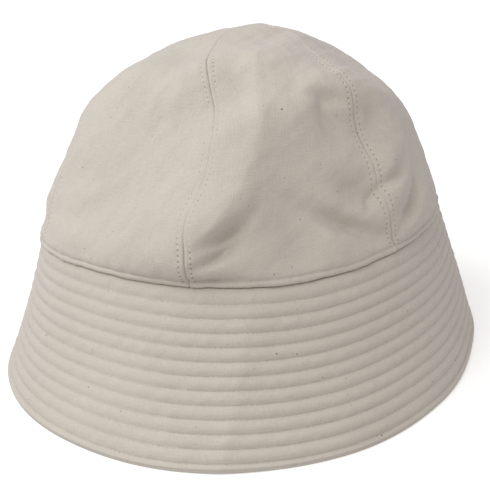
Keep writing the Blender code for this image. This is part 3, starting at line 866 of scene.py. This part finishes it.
def canvas_material(name, seed):
    """Unbleached cotton canvas: plain weave, slubs, faint mottling and scattered seed flecks."""
    material = bpy.data.materials.new(name)
    n = Nodes(material)
    n.shader.inputs["Roughness"].default_value = 0.92
    n.shader.inputs["Specular IOR Level"].default_value = 0.25
    n.shader.inputs["Sheen Weight"].default_value = 0.22
    n.shader.inputs["Sheen Roughness"].default_value = 0.55
    n.shader.inputs["Sheen Tint"].default_value = SHEEN_TINT
    uv = n.add("ShaderNodeUVMap", uv_map="cloth").outputs["UV"]
    place = n.add("ShaderNodeTexCoord").outputs["Object"]

    def noise(source, scale, detail=2.0, roughness=0.6, stretch=(1, 1, 1), shift=0.0):
        mapping = n.add("ShaderNodeMapping", Scale=stretch, Location=(shift + seed, shift, seed))
        n.link(source, mapping.inputs["Vector"])
        texture = n.add("ShaderNodeTexNoise", Scale=scale, Detail=detail, Roughness=roughness)
        n.link(mapping.outputs["Vector"], texture.inputs["Vector"])
        return texture.outputs["Fac"]

    # colour: broad mottling, slubs along both thread directions, and fine grain
    mottling = noise(place, MOTTLE_SCALE, 3.0, 0.55)
    weft = noise(uv, SLUB_SCALE, stretch=(SLUB_LONG, SLUB_SHORT, 1), shift=4.0)
    warp = noise(uv, SLUB_SCALE, stretch=(SLUB_SHORT, SLUB_LONG, 1), shift=9.0)
    slubs = n.math("ADD", weft, warp)
    grain = noise(place, GRAIN_SCALE)
    tone = n.weighted((mottling, MOTTLE_TONE), (grain, GRAIN_TONE), (slubs, SLUB_TONE))
    cloth = n.mixed(n.clamped(n.math("SUBTRACT", tone, TONE_DROP)), CREAM_SHADE, CREAM)

    def flecks(row):
        shift = (row.shift, seed + row.shift, 0)
        mapping = n.add("ShaderNodeMapping", Scale=FLECK_STRETCH, Location=shift)
        n.link(uv, mapping.inputs["Vector"])
        cells = n.add("ShaderNodeTexVoronoi", voronoi_dimensions="2D", feature="F1", Scale=row.scale)
        n.link(mapping.outputs["Vector"], cells.inputs["Vector"])
        split = n.add("ShaderNodeSeparateColor")
        n.link(cells.outputs["Color"], split.inputs["Color"])
        size = n.math("MULTIPLY", n.math("POWER", split.outputs["Red"], FLECK_RARITY), row.limit)
        inside = n.math("SUBTRACT", size, cells.outputs["Distance"])
        edge = n.math("DIVIDE", inside, row.limit * FLECK_EDGE)
        return n.math("MULTIPLY", n.clamped(edge), split.outputs["Green"])

    fleck = n.math("MAXIMUM", flecks(FLECKS[0]), flecks(FLECKS[1]))
    colour = n.mixed(n.math("MULTIPLY", fleck, FLECK_DARKNESS), cloth, SEED)
    n.link(colour, n.shader.inputs["Base Color"])

    # relief: crossed threads, slubs and a soft fuzz
    def threads(direction):
        wave = n.add("ShaderNodeTexWave", wave_type="BANDS", bands_direction=direction,
                     wave_profile="SIN", Scale=2 * math.pi / (20 * THREAD_PERIOD),
                     Distortion=0.6, Detail=1.0)
        n.link(uv, wave.inputs["Vector"])
        return wave.outputs["Fac"]

    weave = n.math("MULTIPLY", threads("X"), threads("Y"))
    height = n.weighted((weave, WEAVE_RELIEF), (slubs, SLUB_RELIEF), (grain, GRAIN_RELIEF))
    bump = n.add("ShaderNodeBump", Strength=BUMP_STRENGTH, Distance=BUMP_DISTANCE)
    n.link(height, bump.inputs["Height"])
    n.link(bump.outputs["Normal"], n.shader.inputs["Normal"])
    return material


def stitch_and_hole_shade_material(name, colour, roughness):
    """Spun cotton for the stitches, and the painted shade of the needle holes: its colour varies a
    little from stitch to stitch.
    """
    material = bpy.data.materials.new(name)
    n = Nodes(material)
    n.shader.inputs["Roughness"].default_value = roughness
    texture = n.add("ShaderNodeTexNoise", Scale=900.0)
    n.link(n.add("ShaderNodeTexCoord").outputs["Object"], texture.inputs["Vector"])
    dark = [0.86 * c for c in colour[:3]] + [1.0]
    n.link(n.mixed(texture.outputs["Fac"], dark, colour), n.shader.inputs["Base Color"])
    return material


# --- the studio ---
FLOOR_SIZE, FLOOR_DROP = 12, 0.0002      # the floor lies just under the brim's edge
FLOOR_COLOUR, FLOOR_GLOW = (0.93, 0.93, 0.93, 1.0), 0.30
SKY_COLOUR, SKY_STRENGTH = (1.0, 0.975, 0.968, 1.0), 0.65

Light = namedtuple("Light", "name azimuth elevation distance size power colour")
LIGHTS = (
    Light("key", -50, 45, 1.3, 0.8, 5.0, (0.985, 1.0, 1.0)),
    Light("front_key", 10, 50, 1.3, 0.8, 5.1, (0.985, 1.0, 0.98)),
)
LIGHT_AIM = (0.0, 0.0, 0.08)

CAMERA_AZIMUTH, CAMERA_ELEVATION, CAMERA_ROLL = 45, 20.7, 4.26
CAMERA_DISTANCE = 0.70
AIM_ACROSS, AIM_HEIGHT = -0.0027, 0.0522     # the view's middle, from the seam's centre on the floor
SENSOR, FOCAL_PIXELS, FRAME_PIXELS = 36, 1439, 490


def towards(azimuth, elevation):
    """Unit vector from the cap towards a place in the studio; the angles are in radians."""
    return Vector((math.sin(azimuth) * math.cos(elevation),
                   -math.cos(azimuth) * math.cos(elevation), math.sin(elevation)))


def add_light(row):
    """A square area light that faces the cap's middle."""
    back = towards(math.radians(row.azimuth), math.radians(row.elevation))
    light = bpy.data.lights.new(row.name, "AREA")
    light.size, light.energy, light.color = row.size, row.power, row.colour
    lamp = bpy.data.objects.new(row.name, light)
    lamp.location = Vector(LIGHT_AIM) + back * row.distance
    lamp.rotation_mode = "QUATERNION"
    lamp.rotation_quaternion = (-back).to_track_quat("-Z", "Y")
    bpy.context.scene.collection.objects.link(lamp)


def add_floor():
    bpy.ops.mesh.primitive_plane_add(size=FLOOR_SIZE, location=(0, 0, -FLOOR_DROP))
    floor = bpy.context.object
    floor.name = "floor"
    paint = bpy.data.materials.new("floor_paint")
    n = Nodes(paint)
    n.shader.inputs["Base Color"].default_value = FLOOR_COLOUR
    n.shader.inputs["Roughness"].default_value = 0.9
    n.shader.inputs["Emission Color"].default_value = (1.0, 1.0, 1.0, 1.0)
    n.shader.inputs["Emission Strength"].default_value = FLOOR_GLOW
    floor.data.materials.append(paint)
    floor.visible_diffuse = False


def add_studio():
    add_floor()
    world = bpy.data.worlds.new("studio")
    bpy.context.scene.world = world
    world.use_nodes = True
    background = world.node_tree.nodes["Background"]
    background.inputs["Color"].default_value = SKY_COLOUR
    background.inputs["Strength"].default_value = SKY_STRENGTH
    for row in LIGHTS:
        add_light(row)
    bpy.context.scene.view_settings.view_transform = "Standard"
    bpy.context.scene.view_settings.look = "None"


def add_camera():
    """Camera at the photograph's angle, rolled a little to the left."""
    azimuth, roll = math.radians(CAMERA_AZIMUTH), math.radians(CAMERA_ROLL)
    across = Vector((math.cos(azimuth), math.sin(azimuth), 0))
    back = towards(azimuth, math.radians(CAMERA_ELEVATION))
    upward = back.cross(across)
    right = across * math.cos(roll) - upward * math.sin(roll)
    top = across * math.sin(roll) + upward * math.cos(roll)
    data = bpy.data.cameras.new("camera")
    data.sensor_width = SENSOR
    data.lens = FOCAL_PIXELS / FRAME_PIXELS * SENSOR
    data.clip_start, data.clip_end = 0.05, 50
    camera = bpy.data.objects.new("camera", data)
    turn = Matrix((right, top, back)).transposed().to_4x4()
    aim = Vector(SEAM_CENTRE) + across * AIM_ACROSS + Vector((0, 0, AIM_HEIGHT))
    camera.matrix_world = Matrix.Translation(aim + back * CAMERA_DISTANCE) @ turn
    bpy.context.scene.collection.objects.link(camera)
    bpy.context.scene.camera = camera


def main():
    brim_canvas = canvas_material("brim_canvas_weave", 0.0)
    crown_canvas = canvas_material("crown_canvas_weave", 5.0)
    # the thread's colour is lightened to paint highlights on the stitches
    thread_and_highlight = stitch_and_hole_shade_material("cotton_thread_and_painted_highlight", THREAD_AND_HIGHLIGHT, 0.75)
    # painted shade for the needle holes, on dark spindles between the stitches
    hole_shade = stitch_and_hole_shade_material("needle_hole_painted_shade", PAINTED_HOLE_SHADE, 1.0)
    add_studio()
    make_brim(brim_canvas)
    for panel in PANELS:
        make_panel(panel, crown_canvas)
    make_stitching("crown_topstitching", crown_seam_rows() + hem_rows(), thread_and_highlight, hole_shade)
    make_stitching("brim_stitching", brim_rows(), thread_and_highlight, hole_shade)
    make_stitching("brim_under_stitching", brim_rows(True), thread_and_highlight, hole_shade)
    add_camera()


main()
